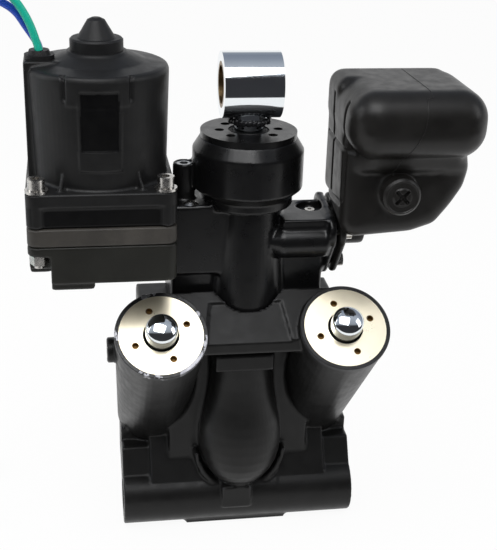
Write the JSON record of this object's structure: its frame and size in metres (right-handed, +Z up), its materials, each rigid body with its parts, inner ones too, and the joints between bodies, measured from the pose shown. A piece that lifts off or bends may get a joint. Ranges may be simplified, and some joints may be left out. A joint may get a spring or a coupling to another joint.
{
  "type": "power trim and tilt unit",
  "caption": "Hydraulic power trim and tilt unit: cast manifold with two leaning trim rams, an upright tilt ram with eye, electric pump and plastic oil reservoir.",
  "frame": {"origin": "middle of the lower pivot bore, on the bore's axis", "axes": "+X along the pivot bore towards the reservoir side, +Z up the tilt ram, the trim rams lean towards -Y"},
  "size_m": [0.3214, 0.1599, 0.3811],
  "materials": {
    "casting": "satin black paint",
    "tilt_casting": "gloss black paint",
    "motor_paint": "satin black paint",
    "pump_casting": "satin olive black",
    "plate_casting": "dull grey",
    "champagne": "pale gold anodised",
    "chrome": "polished",
    "stainless": "bright",
    "steel": "machined",
    "black_rubber": "matt",
    "black_plastic": "moulded",
    "bronze": "bronze",
    "copper": "copper windings on laminated steel",
    "magnet": "ceramic magnet",
    "green_wire": "insulation",
    "blue_wire": "insulation"
  },
  "bodies": {
    "unit": {"trim_manifold": "casting", "pivot_bushes": "black_plastic", "gallery_plugs": "stainless", "left_trim_cap": "champagne", "left_trim_wiper": "black_rubber", "right_trim_cap": "champagne", "right_trim_wiper": "black_rubber", "trim_cap_orings": "black_rubber", "tilt_housing": "tilt_casting", "tilt_liner": "steel", "tilt_end_cap": "tilt_casting", "tilt_wiper": "black_rubber", "tilt_cap_oring": "black_rubber", "housing_bolts": "stainless", "ledge_screw": "stainless", "arm_plug": "stainless", "reservoir_tank": "black_plastic", "reservoir_bolts": "stainless", "reservoir_seal": "black_rubber", "pump_housing": "pump_casting", "adapter_plate": "plate_casting", "gear_cover": "steel", "inlet_screen": "stainless", "check_balls": "chrome", "corner_nut": "stainless", "pump_bolts": "stainless", "motor_housing": "motor_paint", "motor_top_cap": "black_rubber", "motor_bolts": "stainless", "motor_washers": "stainless", "field_magnets": "magnet", "brush_plate": "black_plastic", "motor_grommet": "black_rubber", "lead_green": "green_wire", "lead_blue": "blue_wire", "lead_connector": "black_plastic"},
    "left_trim_ram": {"left_trim_rod": "chrome", "left_trim_piston": "steel", "left_trim_ring": "black_rubber"},
    "right_trim_ram": {"right_trim_rod": "chrome", "right_trim_piston": "steel", "right_trim_ring": "black_rubber"},
    "tilt_ram": {"tilt_rod": "chrome", "rod_eye": "chrome", "eye_bushes": "bronze", "tilt_piston": "steel", "tilt_piston_ring": "black_rubber", "piston_nut": "steel", "shock_balls": "chrome", "shock_springs": "steel"},
    "memory_piston": {"free_piston": "steel", "free_piston_oring": "black_rubber"},
    "armature": {"armature_shaft": "steel", "armature_core": "copper", "commutator": "copper", "drive_gear": "steel"},
    "idler": {"driven_gear": "steel"},
    "release": {"release_valve": "steel"},
    "fill": {"fill_plug": "black_plastic", "fill_plug_oring": "black_rubber"}
  },
  "joints": [
    {"name": "left_trim_slide", "type": "slide", "parent": "unit", "child": "left_trim_ram", "axis": [0, -0.6428, 0.766], "range_m": [0, 0.068]},
    {"name": "right_trim_slide", "type": "slide", "parent": "unit", "child": "right_trim_ram", "axis": [0, -0.6428, 0.766], "range_m": [0, 0.068]},
    {"name": "tilt_slide", "type": "slide", "parent": "unit", "child": "tilt_ram", "axis": [0, 0, 1], "range_m": [0, 0.16]},
    {"name": "memory_slide", "type": "slide", "parent": "unit", "child": "memory_piston", "axis": [0, 0, 1], "range_m": [0, 0.16]},
    {"name": "armature_spin", "type": "hinge", "parent": "unit", "child": "armature", "pos_m": [-0.0915, -0.02, 0.2], "axis": [0, 0, 1], "continuous": true},
    {"name": "idler_spin", "type": "hinge", "parent": "unit", "child": "idler", "pos_m": [-0.0915, -0.002, 0.204], "axis": [0, 0, 1], "continuous": true},
    {"name": "release_turn", "type": "hinge", "parent": "unit", "child": "release", "pos_m": [-0.0397, -0.008, 0.24], "axis": [0, 0, 1], "range_deg": [0, 270]},
    {"name": "fill_plug_pull", "type": "slide", "parent": "unit", "child": "fill", "axis": [0, -1, 0], "range_m": [0, 0.04]}
  ],
  "couplings": [
    {"joint": "idler_spin", "follows": "armature_spin", "ratio": -1},
    {"joint": "memory_slide", "follows": "tilt_slide", "ratio": 1}
  ]
}
